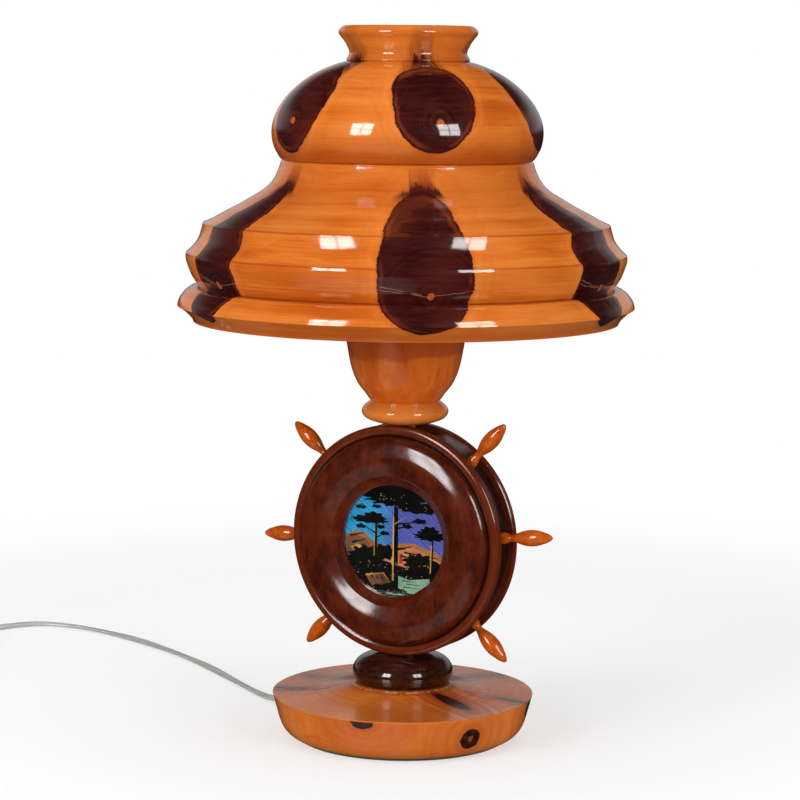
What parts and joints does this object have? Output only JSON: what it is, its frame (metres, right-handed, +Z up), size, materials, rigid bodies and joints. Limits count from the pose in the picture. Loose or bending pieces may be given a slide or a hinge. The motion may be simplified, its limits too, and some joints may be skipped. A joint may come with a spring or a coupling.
{
  "type": "table lamp",
  "caption": "Turned-wood table lamp: dished base, ship's-wheel stem with a round picture, cup, and a hollow bell-shaped wooden shade that lifts off a wire carrier.",
  "frame": {"origin": "on the surface the lamp stands on, at the lamp's axis under the middle of the base", "axes": "+Z up along the lamp's axis, -Y out of the wheel's picture, +X to the right of someone facing the picture"},
  "size_m": [0.6528, 0.3333, 0.4925],
  "materials": {
    "shade_wood": "gloss",
    "base_wood": "gloss",
    "cup_wood": "gloss",
    "handle_wood": "gloss",
    "post_wood": "satin",
    "dark_wood": "gloss",
    "bun_wood": "gloss",
    "core_wood": "satin",
    "felt": "matte",
    "picture_glass": "gloss",
    "picture": "iridescent",
    "card": "matte",
    "steel": "plated",
    "brass": "polished",
    "moulding": "satin",
    "knob": "gloss",
    "silicone": "matte",
    "bulb_glass": "frosted",
    "bulb_metal": "satin",
    "bulb_insulator": "gloss",
    "bulb_stem": "gloss",
    "tungsten": "satin",
    "clear_flex": "clear over silver strands",
    "grommet": "translucent",
    "plug": "satin",
    "pin_metal": "polished",
    "tie": "satin"
  },
  "bodies": {
    "lamp": {"base": "base_wood", "base_felt": "felt", "bun": "bun_wood", "carrier_nut": "steel", "carrier_pad_1": "silicone", "carrier_pad_2": "silicone", "carrier_pad_3": "silicone", "coil_tie": "tie", "cord_coil": "clear_flex", "cord_grommet": "grommet", "cord_run": "clear_flex", "cord_tail": "clear_flex", "cup": "cup_wood", "inner_lead": "clear_flex", "picture_backing": "card", "picture_glass": "picture_glass", "picture_panel": "picture", "plug_body": "plug", "plug_pin_left": "pin_metal", "plug_pin_right": "pin_metal", "shade_carrier": "steel", "socket_cap": "brass", "socket_contact": "brass", "socket_core": "moulding", "socket_liner": "card", "socket_screw_shell": "brass", "socket_shell": "brass", "stem_nut_lower": "steel", "stem_nut_upper": "steel", "stem_tube": "steel", "stem_washer_lower": "steel", "stem_washer_upper": "steel", "terminal_screw_left": "brass", "terminal_screw_right": "steel", "wheel_back_disc": "dark_wood", "wheel_core": "core_wood", "wheel_front_disc": "dark_wood", "wheel_handle_000": "handle_wood", "wheel_handle_045": "handle_wood", "wheel_handle_135": "handle_wood", "wheel_handle_180": "handle_wood", "wheel_handle_225": "handle_wood", "wheel_handle_315": "handle_wood", "wheel_post_lower": "post_wood", "wheel_post_upper": "post_wood"},
    "shade": {"shade_dome": "shade_wood", "shade_skirt": "shade_wood"},
    "switch": {"switch_shaft": "brass", "switch_knob": "knob"},
    "bulb": {"bulb_glass": "bulb_glass", "bulb_cap": "bulb_metal", "bulb_insulator": "bulb_insulator", "bulb_contact": "bulb_metal", "bulb_mount": "bulb_stem", "bulb_filament": "tungsten"}
  },
  "joints": [
    {"name": "shade_lift", "type": "slide", "parent": "lamp", "child": "shade", "axis": [0, 0, 1], "range_m": [0, 0.13]},
    {"name": "switch_turn", "type": "hinge", "parent": "lamp", "child": "switch", "pos_m": [0.03, 0, 0.309], "axis": [1, 0, 0], "continuous": true},
    {"name": "bulb_unscrew", "type": "slide", "parent": "lamp", "child": "bulb", "axis": [0, 0, 1], "range_m": [0, 0.03]}
  ]
}
